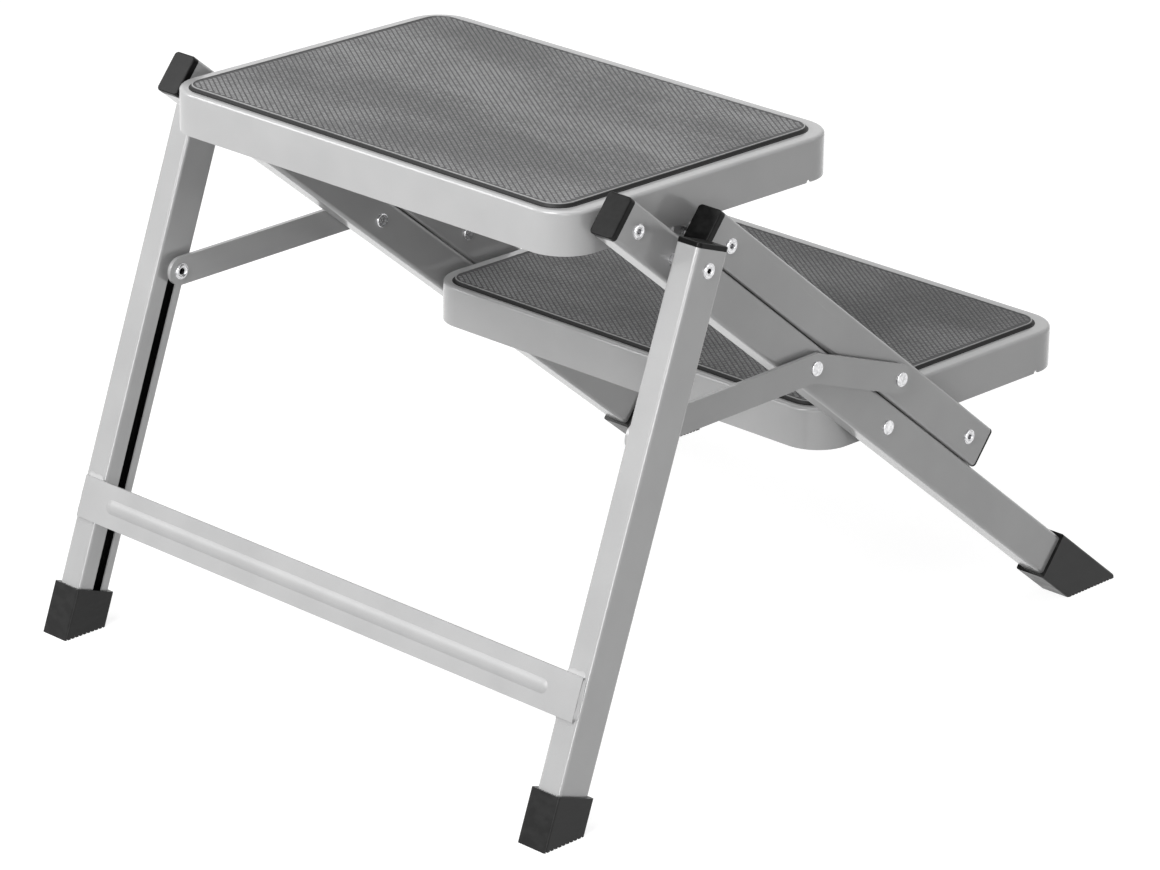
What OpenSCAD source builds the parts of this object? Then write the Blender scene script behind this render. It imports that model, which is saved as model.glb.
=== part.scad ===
// Folding two-tread entry step for a caravan, open, in millimetres.
// +X is the width, the lower tread faces -Y and +Z is up. The origin is on the floor
// under the middle of the step.
// The side is a parallelogram: two parallel tubes carry both treads, one tube above the
// other. The half angle of the ladder slope sets every other angle, so that the treads,
// the upper tubes, the links and the rear legs all fold flat onto the front legs.

/* [Ladder] */
// Slope of the front legs below the horizontal
slope = 38.5; // [36:0.5:41]
// Distance between the two tread pivots along a front leg
tread_pitch = 322; // [305:1:345]
// Height of the upper tray's top above the floor
upper_height = 400; // [385:1:415]
// Distance from the upper tread pivot down to the rear leg pivot
leg_pivot_drop = 43.3; // [42:0.1:50]

/* [Tubes] */
// Depth of every tube, across its slope
tube_d = 30; // [28:1:33]
// Width of every tube
tube_w = 20; // [18:1:24]
// Wall of every tube
tube_wall = 1.5; // [1.2:0.1:2]
// Outer corner radius of every tube
tube_r = 3; // [2.5:0.1:4]
// Gap between the front leg and the rail above it
rail_gap = 0.7; // [0.5:0.1:2]
// Length of front leg above the upper tread pivot
front_top = 15; // [14:1:24]
// Length of rail above its upper pivot
rail_top = 19; // [16:1:26]
// Length of rail below its lower pivot
rail_end = 20; // [16:1:30]
// Length of rear leg above its pivot
rear_top = 13.5; // [13:0.5:24]
// Distance of a rear leg's slot ahead of the leg's middle
slot_shift = 3.15; // [2.6:0.05:4]

/* [Treads] */
// Width of a tray
tread_w = 380; // [340:1:440]
// Depth of a tray from rear edge to front edge
tread_l = 264; // [235:1:275]
// Height of a tray's skirt
skirt_h = 30; // [27:0.5:36]
// Sheet of a tray
sheet = 1.5; // [1:0.1:2]
// Corner radius of a tray
tray_r = 28; // [22:1:40]
// Radius along the top edge of a tray
edge_r = 2.5; // [2.5:0.5:5]
// Distance from a tray's rear edge to its pivot
pivot_inset = 41.4; // [36:0.2:50]
// Distance from a tray's lower edge up to its pivot
pivot_rise = 17.3; // [15:0.1:19]
// Distance from a tray's lower edge up to its brackets' lower edge
bracket_rise = 5; // [3:0.5:8]
// Radius of the small notch in the skirt near each front corner
notch_r = 2; // [1:0.5:4]
// Distance from the notch to the front edge
notch_inset = 32; // [30:1:60]

/* [Mats] */
// Thickness of a rubber mat
mat_t = 2.6; // [2:0.1:3.5]
// Margin between a mat and each end of its tray
mat_side = 12; // [8:1:24]
// Margin between a mat and its tray's rear edge
mat_rear = 6; // [6:1:24]
// Margin between a mat and its tray's front edge
mat_front = 12; // [6:1:24]
// Radius along the top edge of a mat
mat_edge = 1.2; // [0.5:0.1:1.8]

/* [Brackets and links] */
// Sheet of the channel-shaped pivot brackets under a tray
bracket_t = 2.5; // [2:0.1:3.5]
// Width of a pivot bracket, over both cheeks
bracket_w = 18.5; // [16:0.5:24]
// Half width of a bracket's cheeks round the pivots
ear_r = 9; // [8:0.5:10.5]
// Gap between a tray's skirt and the tubes beside it
side_gap = 5; // [4:0.5:8]
// Outer radius of the washers at the tubes
washer_r = 6.5; // [6:0.5:8]
// Thickness of a folding link
link_t = 3; // [2.5:0.5:5]
// Width of a folding link
link_w = 20.5; // [18:0.5:24]
// Thickness of the washer between link and tube
link_washer_t = 2.8; // [2.6:0.1:5]
// Thickness of the spacer between link and rear leg
spacer_t = 4; // [3.5:0.1:6]
// Outer radius of the spacers at the rear leg
spacer_r = 5; // [4.9:0.1:5.6]

/* [Rivets] */
// Radius of a rivet shank
rivet_r = 3; // [2.5:0.1:3.5]
// How far a rivet head reaches past its shank
head_lip = 2.2; // [1.8:0.1:2.8]
// Height of a rivet head
head_h = 1.8; // [1.5:0.1:2.2]
// Height of the thin rim round a rolled ring
rim_h = 0.7; // [0.5:0.1:1]
// Radius of the rolled ring on a hollow end
ring_r = 1.1; // [0.8:0.1:1.2]
// Wall of a hollow rivet end
rivet_wall = 1.2; // [1:0.1:1.4]
// Depth of the hole in the end of a rolled rivet
tail_depth = 4; // [2:0.5:6]
// Running clearance round a shank
running = 0.05; // [0.02:0.01:0.1]
// Radius of the sliding pins
pin_r = 3.6; // [3.2:0.1:4]
// Clearance at each side of the sliding pin in its slot
slot_clearance = 0.3; // [0.2:0.05:0.6]
// Length of slot below the folded pin, inside the rear foot
slot_spare = 8; // [5:1:10]

/* [Cross bar] */
// Height of the cross bar's middle above the top of the rear feet, along the legs
bar_rise = 63.5; // [40:0.5:120]
// Height of the cross bar
bar_h = 30; // [26:1:36]
// Sheet of the cross bar
bar_t = 2; // [1.5:0.1:3]
// Distance from the cross bar's end to the rear leg's outer face
bar_inset = 3; // [1:0.5:6]
// Height of the long bead in the cross bar
bead_w = 10; // [8:0.5:16]
// How far the bead stands out of the cross bar
bead_h = 1.4; // [1:0.1:2]
// Distance from the rear leg's outer face to the start of the bead's round end
bead_inset = 35; // [32:1:80]

/* [Caps and feet] */
// Length of an upper cap outside its tube
cap_t = 5; // [4:0.5:8]
// Length of a rear leg's cap outside its tube
leg_cap_t = 3.5; // [2.5:0.5:6]
// Length of a rail's lower cap outside its tube
end_cap_t = 2.5; // [2:0.5:5]
// Length of a cap inside its tube
plug_l = 10; // [8:1:11]
// Wall of a cap's plug
plug_wall = 1.8; // [1.2:0.1:2.4]
// Radius along the outer edge of a cap
cap_edge = 1; // [0.6:0.1:1.6]
// Wall of a rubber foot round its tube
foot_wall = 2.5; // [2:0.1:2.8]
// Corner radius of a rubber foot
foot_r = 1.6; // [1:0.1:3]
// Length cut off a front foot's sharp toe
toe_trim = 4; // [2:0.5:8]
// Length of rear foot above the rear leg's lower end
rear_foot_grip = 18.5; // [16:0.5:24]
// Gap between the folded links' spacers and the tops of the rear feet
foot_gap = 0.5; // [0.4:0.1:4]
// Solid rubber under the lower end of a tube
sole_t = 8; // [6:0.5:12]
// Length of front foot above the front leg's lower end
front_foot_grip = 34; // [28:1:42]
// Spacing of the grooves in the soles
groove_pitch = 3.6; // [3:0.2:6]
// Width of a groove in the soles
groove_w = 1.4; // [1:0.1:2]
// Depth of a groove in the soles
groove_d = 1; // [0.6:0.1:1.6]

/* [Hidden] */
$fn = 48;
// Reach of cutting solids that pass the whole step
big = 400;
// Step between a bar's straight side and its round end, where the two outlines cross
seam = 0.03;

// Angles: the rear leg leans by half of the slope
lean = slope / 2;

// Places across the width, counted from the middle
skirt_out = tread_w / 2;
bracket_out = skirt_out - sheet;
bracket_in = bracket_out - bracket_w;
tube_in = skirt_out + side_gap;
tube_out = tube_in + tube_w;
link_in = tube_out + link_washer_t;
link_out = link_in + link_t;
leg_in = link_out + spacer_t;
leg_out = leg_in + tube_w;

// Depth of a mat
mat_l = tread_l - mat_rear - mat_front;

// The vector from a front leg pivot to its rail pivot, along and across the ladder
rail_rise = tube_d + rail_gap;
rail_shift = rail_rise / tan(lean);

// Places along the ladder, counted from the upper tread pivot
leg_pivot_t = leg_pivot_drop;
lower_pivot_t = tread_pitch;
foot_h = tube_d / 2 + foot_wall;

// Height of the upper tread pivot, and how far the step reaches from it both ways
pivot_z = upper_height - skirt_h + pivot_rise;
function foot_ground_t(n) = (pivot_z + n * cos(slope)) / sin(slope);
front_end_t = foot_ground_t(-tube_d / 2) - sole_t;
front_reach = foot_ground_t(foot_h) * cos(slope) + foot_h * sin(slope) - toe_trim;
leg_back = -leg_pivot_t * cos(slope);
leg_pivot_z = pivot_z - leg_pivot_t * sin(slope);
function leg_ground(n) = (leg_pivot_z - n * sin(lean)) / cos(lean);
heel_n = -foot_h;
rear_reach = leg_back - heel_n * cos(lean) + leg_ground(heel_n) * sin(lean);
pivot_y = (front_reach - rear_reach) / 2;
leg_pivot_y = pivot_y + leg_back;

// Places along the rear leg, counted from its pivot
rear_end = leg_ground(tube_d / 2) - sole_t;
rear_foot_drop = rear_end - rear_foot_grip;
bar_drop = rear_foot_drop - bar_rise;

// The folded sliding pin stops just above the rear foot, which sets the link's two arms.
pin_folded = rear_foot_drop - foot_gap - spacer_r;

// The sliding pin wanders a little across its slot as the leg turns half as fast as the link.
// It lies behind the slot's middle by the same amount at both ends of its way, and ahead between them.
half_turn = (90 - lean) / 2;
pin_side = 2 * slot_shift / (1 + 1 / cos(half_turn));
tail_reach = (pin_folded - pin_side * tan(half_turn)) / 2;
link_pivot_drop = pin_folded - tail_reach;
link_pivot_t = leg_pivot_t + link_pivot_drop;
pin_open = pin_folded * sin(lean) + pin_side * cos(lean);
slot_w = 2 * (pin_r + slot_clearance + slot_shift - pin_side);

steel = [0.70, 0.71, 0.72];
zinc = [0.82, 0.83, 0.85];
plastic = [0.09, 0.09, 0.10];
rubber = [0.20, 0.20, 0.21];

// Frame of the ladder: X across, Y square to the front leg, Z down the front leg
module on_ladder() {
    translate([0, pivot_y, pivot_z]) rotate([90 + slope, 0, 0]) children();
}

// Frame of the rear legs: X across, Y forward of the leg, Z down the leg
module on_rear_leg() {
    translate([0, leg_pivot_y, leg_pivot_z]) rotate([180 + lean, 0, 0]) children();
}

// Frame of a tread: Y forward from its rear pivot is -Y, Z up
module at_tread(t) {
    translate([0, pivot_y - t * cos(slope), pivot_z - t * sin(slope)]) children();
}

// One side of the step: 1 for the right side, -1 for the left, seen from the front
module side(s) {
    mirror([s < 0 ? 1 : 0, 0, 0]) children();
}

module rounded_rect(w, h, r) {
    square([w - 2 * r, h], center = true);
    square([w, h - 2 * r], center = true);
    for (x = [-1, 1], y = [-1, 1]) {
        translate([x * (w / 2 - r), y * (h / 2 - r)]) circle(r);
    }
}

// A slab with upright walls, round corners and a round upper edge, standing on Z = 0
module rounded_slab(w, l, r, h, edge) {
    linear_extrude(h - edge) rounded_rect(w, l, r);
    linear_extrude(h) rounded_rect(w - 2 * edge, l - 2 * edge, r - edge);
    for (x = [-1, 1], y = [-1, 1]) {
        translate([x * (w / 2 - r), y * (l / 2 - r), h - edge]) rotate_extrude() {
            translate([r - edge, 0]) intersection() {
                circle(edge);
                square(edge);
            }
            square([r - edge, edge]);
        }
    }
    for (x = [-1, 1]) {
        translate([x * (w / 2 - edge), 0, h - edge]) rotate([90, 0, 0])
            cylinder(r = edge, h = l - 2 * r, center = true);
    }
    for (y = [-1, 1]) {
        translate([0, y * (l / 2 - edge), h - edge]) rotate([0, 90, 0])
            cylinder(r = edge, h = w - 2 * r, center = true);
    }
}

// A straight bar between two points, in the plane, just narrower than its round ends
module bar(a, b, w) {
    d = b - a;
    side = w - 2 * seam;
    translate(a) rotate(atan2(d[1], d[0])) translate([0, -side / 2]) square([norm(d), side]);
}

// The same bar with round ends
module round_bar(a, b, w) {
    bar(a, b, w);
    translate(a) circle(w / 2);
    translate(b) circle(w / 2);
}

module tube(length) {
    linear_extrude(length) difference() {
        rounded_rect(tube_w, tube_d, tube_r);
        rounded_rect(tube_w - 2 * tube_wall, tube_d - 2 * tube_wall, tube_r - tube_wall);
    }
}

// A rivet hole along X through what lies outside X = x0 on one side of the step
module cross_hole(x0) {
    translate([x0, 0, 0]) rotate([0, 90, 0]) cylinder(r = rivet_r, h = big);
}

// The plug of a tube end: Z = 0 is the tube's end, the outside is at -Z
module end_cap(thickness) {
    plug_w = tube_w - 2 * tube_wall - 2 * running;
    plug_d = tube_d - 2 * tube_wall - 2 * running;
    rotate([180, 0, 0]) rounded_slab(tube_w, tube_d, tube_r, thickness, cap_edge);
    difference() {
        translate([0, 0, -thickness / 2]) linear_extrude(plug_l + thickness / 2)
            rounded_rect(plug_w, plug_d, tube_r - tube_wall);
        linear_extrude(2 * plug_l)
            square([plug_w - 2 * plug_wall, plug_d - 2 * plug_wall], center = true);
    }
}

// A rivet along X from x0 to x1, with a domed head inside and a domed or rolled one outside
module rivet(x0, x1, rolled = false) {
    translate([x0, 0, 0]) rotate([0, 90, 0]) difference() {
        union() {
            cylinder(r = rivet_r - running, h = x1 - x0);
            mirror([0, 0, 1]) domed_head(rivet_r);
            translate([0, 0, x1 - x0]) {
                if (rolled) rolled_head(rivet_r);
                else domed_head(rivet_r);
            }
        }
        if (rolled) {
            translate([0, 0, x1 - x0 - tail_depth]) cylinder(r = rivet_r - rivet_wall, h = big);
        }
    }
}

// A hollow rivet of shank radius r along X from x0 to x1, rolled over at both ends
module hollow_rivet(x0, x1, r) {
    translate([x0, 0, 0]) rotate([0, 90, 0]) difference() {
        union() {
            cylinder(r = r - running, h = x1 - x0);
            mirror([0, 0, 1]) rolled_head(r);
            translate([0, 0, x1 - x0]) rolled_head(r);
        }
        translate([0, 0, -big / 2]) cylinder(r = r - rivet_wall, h = big);
    }
}

// Low head with a rounded edge, on a shank of radius r
module domed_head(r) {
    rim = head_h / 2;
    reach = r + head_lip;
    rotate_extrude() {
        square([reach - rim, head_h]);
        square([reach, head_h - rim]);
        translate([reach - rim, head_h - rim]) circle(rim);
    }
}

// Thin head with a rolled ring midway between its bore and its rim
module rolled_head(r) {
    reach = r + head_lip;
    middle = (r - rivet_wall + reach) / 2;
    rotate_extrude() {
        square([reach, rim_h]);
        translate([middle, rim_h]) intersection() {
            circle(ring_r);
            translate([-ring_r, -rim_h / 2]) square([2 * ring_r, 2 * ring_r]);
        }
    }
}

// A washer along X from x0 to x1, of outer radius r
module washer(x0, x1, r, hole = rivet_r) {
    translate([x0, 0, 0]) rotate([0, 90, 0]) difference() {
        cylinder(r = r, h = x1 - x0);
        translate([0, 0, -big / 2]) cylinder(r = hole, h = big);
    }
}

module front_leg(s) {
    color(steel) on_ladder() side(s) difference() {
        translate([tube_in + tube_w / 2, 0, -front_top]) tube(front_end_t + front_top);
        for (t = [0, link_pivot_t, lower_pivot_t]) {
            translate([0, 0, t]) cross_hole(0);
        }
        translate([0, 0, leg_pivot_t]) cross_hole(tube_in + tube_w / 2);
    }
}

module front_leg_cap(s) {
    color(plastic) on_ladder() side(s)
        translate([tube_in + tube_w / 2, 0, -front_top]) end_cap(cap_t);
}

// A rubber foot on a tube that ends at Z = end, grown from Z = start to below the floor
module foot_body(start, end) {
    fit = 2 * running;
    difference() {
        translate([0, 0, start]) linear_extrude(big / 2)
            rounded_rect(tube_w + 2 * foot_wall, 2 * foot_h, foot_r);
        linear_extrude(end) rounded_rect(tube_w + fit, tube_d + fit, tube_r);
    }
}

// Cuts what lies under the floor away, with grooves across the sole
module standing(from_y, to_y) {
    difference() {
        children();
        translate([-big, -2 * big, -2 * big]) cube([2 * big, 4 * big, 2 * big]);
        for (y = [from_y : groove_pitch : to_y]) {
            translate([-big, y, -groove_d]) cube([2 * big, groove_w, 2 * groove_d]);
        }
    }
}

module front_foot(s) {
    sole_back = pivot_y - foot_ground_t(-foot_h) * cos(slope) + foot_h * sin(slope);
    toe = pivot_y - front_reach;
    color(plastic) standing(toe + groove_pitch, sole_back - groove_pitch) difference() {
        on_ladder() side(s) translate([tube_in + tube_w / 2, 0, 0])
            foot_body(front_end_t - front_foot_grip, front_end_t + running);
        translate([-big, toe - big, -big]) cube([2 * big, big, 2 * big]);
    }
}

module rear_leg(s) {
    color(steel) on_rear_leg() side(s) difference() {
        translate([leg_in + tube_w / 2, 0, -rear_top]) tube(rear_end + rear_top);
        cross_hole(0);
        translate([leg_in - tube_wall, 0, 0]) rotate([0, 90, 0]) linear_extrude(3 * tube_wall)
            round_bar([-pin_open, slot_shift], [-pin_folded - slot_spare, slot_shift], slot_w);
    }
}

module rear_leg_cap(s) {
    color(plastic) on_rear_leg() side(s)
        translate([leg_in + tube_w / 2, 0, -rear_top]) end_cap(leg_cap_t);
}

module rear_foot(s) {
    heel_y = pivot_y + rear_reach;
    color(plastic) standing(heel_y - 2 * foot_h, heel_y)
        on_rear_leg() side(s) translate([leg_in + tube_w / 2, 0, 0])
            foot_body(rear_foot_drop, rear_end + running);
}

// Pressed bar across the back of both rear legs, with its long bead
module cross_bar() {
    color(steel) on_rear_leg() translate([0, -tube_d / 2, bar_drop]) rotate([90, 0, 0]) difference() {
        union() {
            linear_extrude(bar_t) square([2 * (leg_out - bar_inset), bar_h], center = true);
            translate([0, 0, bar_t]) bead();
        }
        bead();
    }
}

// Low round-backed bead along X with ball ends, standing out of Z = 0
module bead() {
    reach = leg_out - bead_inset;
    r = (bead_w * bead_w / 4 + bead_h * bead_h) / (2 * bead_h);
    intersection() {
        translate([0, 0, bead_h - r]) {
            rotate([0, 90, 0]) cylinder(r = r, h = 2 * reach, center = true);
            for (x = [-reach, reach]) {
                translate([x, 0, 0]) rotate([0, 90, 0]) sphere(r);
            }
        }
        translate([-big, -bead_w, 0]) cube([2 * big, 2 * bead_w, 2 * bead_h]);
    }
}

module tread_rail(s) {
    color(steel) on_ladder() side(s) difference() {
        translate([tube_in + tube_w / 2, rail_rise, rail_shift - rail_top])
            tube(rail_top + lower_pivot_t + rail_end);
        for (t = [0, link_pivot_t, lower_pivot_t]) {
            translate([0, rail_rise, rail_shift + t]) cross_hole(0);
        }
    }
}

module rail_top_cap(s) {
    color(plastic) on_ladder() side(s)
        translate([tube_in + tube_w / 2, rail_rise, rail_shift - rail_top]) end_cap(cap_t);
}

module rail_bottom_cap(s) {
    color(plastic) on_ladder() side(s)
        translate([tube_in + tube_w / 2, rail_rise, rail_shift + lower_pivot_t + rail_end])
            mirror([0, 0, 1]) end_cap(end_cap_t);
}

// A tray's middle lies half its depth forward of its rear edge
module tread_slab(inset, z0, h, edge) {
    translate([0, pivot_inset - tread_l / 2, z0 - pivot_rise])
        rounded_slab(tread_w - 2 * inset, tread_l - 2 * inset, tray_r - inset, h, edge);
}

module tray(t) {
    color(steel) at_tread(t) difference() {
        tread_slab(0, 0, skirt_h, edge_r);
        tread_slab(sheet, -sheet, skirt_h, edge_r - sheet);
        for (s = [-1, 1]) side(s) cross_hole(bracket_in);
        translate([0, pivot_inset - tread_l + notch_inset, -pivot_rise]) rotate([0, 90, 0])
            cylinder(r = notch_r, h = 2 * tread_w, center = true);
    }
}

module mat(t) {
    color(rubber) at_tread(t)
        translate([0, pivot_inset - mat_rear - mat_l / 2, skirt_h - pivot_rise])
            rounded_slab(tread_w - 2 * mat_side, mat_l, tray_r - mat_side, mat_t, mat_edge);
}

// Channel under a tray's end, whose cheeks carry the pivot in the skirt and the one below it.
// The rail pivot lies as far ahead and below as the rail lies along and above the front leg,
// because the ladder slopes by twice the lean.
module bracket(s, t) {
    color(steel) at_tread(t) side(s) difference() {
        intersection() {
            bracket_section(0);
            rotate([90, 0, 90]) linear_extrude(big) {
                translate([-rail_shift - ear_r, bracket_rise - pivot_rise])
                    square([rail_shift + 2 * ear_r, skirt_h]);
                bar([-rail_shift, 0], [-rail_shift, -rail_rise], 2 * ear_r);
                translate([-rail_shift, -rail_rise]) circle(ear_r);
            }
        }
        bracket_section(bracket_t);
        cross_hole(0);
        translate([0, -rail_shift, -rail_rise]) cross_hole(0);
    }
}

// A bar along Y with the bracket's outer shape, or with its hollow's where a wall is given
module bracket_section(wall) {
    reach = 2 * skirt_h;
    top = skirt_h - sheet - pivot_rise;
    translate([bracket_out - bracket_w / 2, 0, top - reach]) rotate([90, 0, 0])
        linear_extrude(2 * big, center = true)
            rounded_rect(bracket_w - 2 * wall, 2 * (reach - wall), edge_r - sheet);
}

// One-piece flat link: from the rail pivot over the leg pivot to the sliding pin
module fold_link(s) {
    color(steel) on_ladder() side(s) translate([link_in, 0, link_pivot_t]) rotate([90, 0, 90])
        linear_extrude(link_t) difference() {
            union() {
                round_bar([rail_rise, rail_shift], [0, 0], link_w);
                bar([0, 0], link_tail(), link_w);
                translate(link_tail()) circle(link_w / 2);
            }
            circle(rivet_r);
            translate([rail_rise, rail_shift]) circle(rivet_r);
            translate(link_tail()) circle(pin_r);
        }
}

// The sliding pin's place across and along the ladder, seen from the link pivot
function link_tail() = [
    -tail_reach * sin(slope) - pin_side * cos(slope),
    -tail_reach * cos(slope) + pin_side * sin(slope)
];

// Pin of the link's tail: through the link, a spacer and the slot, with a head in the leg
module slot_pin(s) {
    color(zinc) on_rear_leg() side(s) translate([0, pin_side, pin_open]) {
        hollow_rivet(link_in, leg_in + tube_wall + running, pin_r);
        washer(link_out, leg_in - running, spacer_r, pin_r);
    }
}

// Blind hollow rivet from inside the front leg through both walls of the rear leg
module leg_pivot(s) {
    color(zinc) on_rear_leg() side(s) hollow_rivet(tube_out - tube_wall, leg_out, rivet_r);
}

module leg_spacers() {
    color(zinc) for (s = [-1, 1]) on_rear_leg() side(s) washer(tube_out, leg_in, spacer_r);
}

module both_sides(t, n) {
    for (s = [-1, 1]) on_ladder() side(s) translate([0, n, t]) children();
}

module tread_rivets(t, rolled) {
    color(zinc) both_sides(t, 0) rivet(bracket_in, tube_out, rolled);
}

module rail_rivets(t) {
    color(zinc) both_sides(t + rail_shift, rail_rise) rivet(bracket_in, tube_out, true);
}

module link_leg_rivets() {
    color(zinc) both_sides(link_pivot_t, 0) rivet(tube_in, link_out);
}

module link_rail_rivets() {
    color(zinc) both_sides(link_pivot_t + rail_shift, rail_rise) rivet(tube_in, link_out);
}

module front_leg_washers() {
    color(zinc) {
        both_sides(0, 0) washer(skirt_out, tube_in, washer_r);
        both_sides(lower_pivot_t, 0) washer(skirt_out, tube_in, washer_r);
        both_sides(link_pivot_t, 0) washer(tube_out, link_in, washer_r);
    }
}

module rail_washers() {
    color(zinc) {
        both_sides(rail_shift, rail_rise) washer(bracket_out, tube_in, washer_r);
        both_sides(lower_pivot_t + rail_shift, rail_rise) washer(bracket_out, tube_in, washer_r);
        both_sides(link_pivot_t + rail_shift, rail_rise) washer(tube_out, link_in, washer_r);
    }
}

front_leg(-1);  // front_leg_left
front_leg(1);  // front_leg_right
front_leg_cap(-1);  // front_leg_cap_left
front_leg_cap(1);  // front_leg_cap_right
front_foot(-1);  // front_foot_left
front_foot(1);  // front_foot_right
rear_leg(-1);  // rear_leg_left
rear_leg(1);  // rear_leg_right
rear_leg_cap(-1);  // rear_leg_cap_left
rear_leg_cap(1);  // rear_leg_cap_right
rear_foot(-1);  // rear_foot_left
rear_foot(1);  // rear_foot_right
cross_bar();
tread_rail(-1);  // tread_rail_left
tread_rail(1);  // tread_rail_right
rail_top_cap(-1);  // rail_top_cap_left
rail_top_cap(1);  // rail_top_cap_right
rail_bottom_cap(-1);  // rail_bottom_cap_left
rail_bottom_cap(1);  // rail_bottom_cap_right
tray(0);  // upper_tray
tray(lower_pivot_t);  // lower_tray
mat(0);  // upper_mat
mat(lower_pivot_t);  // lower_mat
bracket(-1, 0);  // upper_bracket_left
bracket(1, 0);  // upper_bracket_right
bracket(-1, lower_pivot_t);  // lower_bracket_left
bracket(1, lower_pivot_t);  // lower_bracket_right
fold_link(-1);  // fold_link_left
fold_link(1);  // fold_link_right
slot_pin(-1);  // slot_pin_left
slot_pin(1);  // slot_pin_right
leg_pivot(-1);  // leg_pivot_left
leg_pivot(1);  // leg_pivot_right
leg_spacers();
tread_rivets(0, true);  // upper_tread_rivets
tread_rivets(lower_pivot_t, false);  // lower_tread_rivets
link_leg_rivets();
rail_rivets(0);  // upper_rail_rivets
rail_rivets(lower_pivot_t);  // lower_rail_rivets
link_rail_rivets();
front_leg_washers();
rail_washers();
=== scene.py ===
"""Looks of the folding two-tread entry step.

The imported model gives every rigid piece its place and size. This script adds the paint,
rubber, plastic and plating, the mats, the welds and the studio. Lengths are in metres and
the frame is the model's: +X across, the lower tread towards -Y, +Z up, floor at Z = 0.
"""

import logging
import math
from collections.abc import Iterable
from dataclasses import dataclass
from enum import Enum

import bmesh
import bpy
from mathutils import Matrix, Vector


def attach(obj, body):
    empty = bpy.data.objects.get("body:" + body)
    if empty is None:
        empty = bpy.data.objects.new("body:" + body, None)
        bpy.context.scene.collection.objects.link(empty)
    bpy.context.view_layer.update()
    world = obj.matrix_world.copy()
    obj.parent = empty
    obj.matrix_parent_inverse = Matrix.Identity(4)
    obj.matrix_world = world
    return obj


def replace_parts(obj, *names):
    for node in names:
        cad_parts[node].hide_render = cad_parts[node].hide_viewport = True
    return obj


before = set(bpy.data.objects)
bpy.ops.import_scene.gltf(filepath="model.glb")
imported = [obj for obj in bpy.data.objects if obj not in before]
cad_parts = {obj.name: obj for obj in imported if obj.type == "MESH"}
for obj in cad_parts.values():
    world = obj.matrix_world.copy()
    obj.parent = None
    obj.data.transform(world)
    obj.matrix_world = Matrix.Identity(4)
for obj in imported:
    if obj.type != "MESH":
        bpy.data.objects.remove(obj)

MM = 0.001
# Nearly all of a noise's values lie between these two.
NOISE_LOW = 0.3
NOISE_HIGH = 0.7

log = logging.getLogger("entry_step")


class Side(Enum):
    """A side of the step, seen from its front."""

    LEFT = -1
    RIGHT = 1

    @property
    def word(self) -> str:
        """The word that ends the names of this side's nodes."""
        return self.name.lower()


class TreadLevel(Enum):
    """One of the two treads."""

    UPPER = "upper"
    LOWER = "lower"

    @property
    def body(self) -> str:
        """The name of the body that this tread moves with."""
        return f"{self.value}_tread"


class Slot(Enum):
    """A finish of the model's record."""

    FRAME = "frame_paint"
    TREAD = "tread_paint"
    MAT = "mat_rubber"
    CAP = "cap_plastic"
    FOOT = "foot_rubber"
    ZINC = "zinc"


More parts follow.
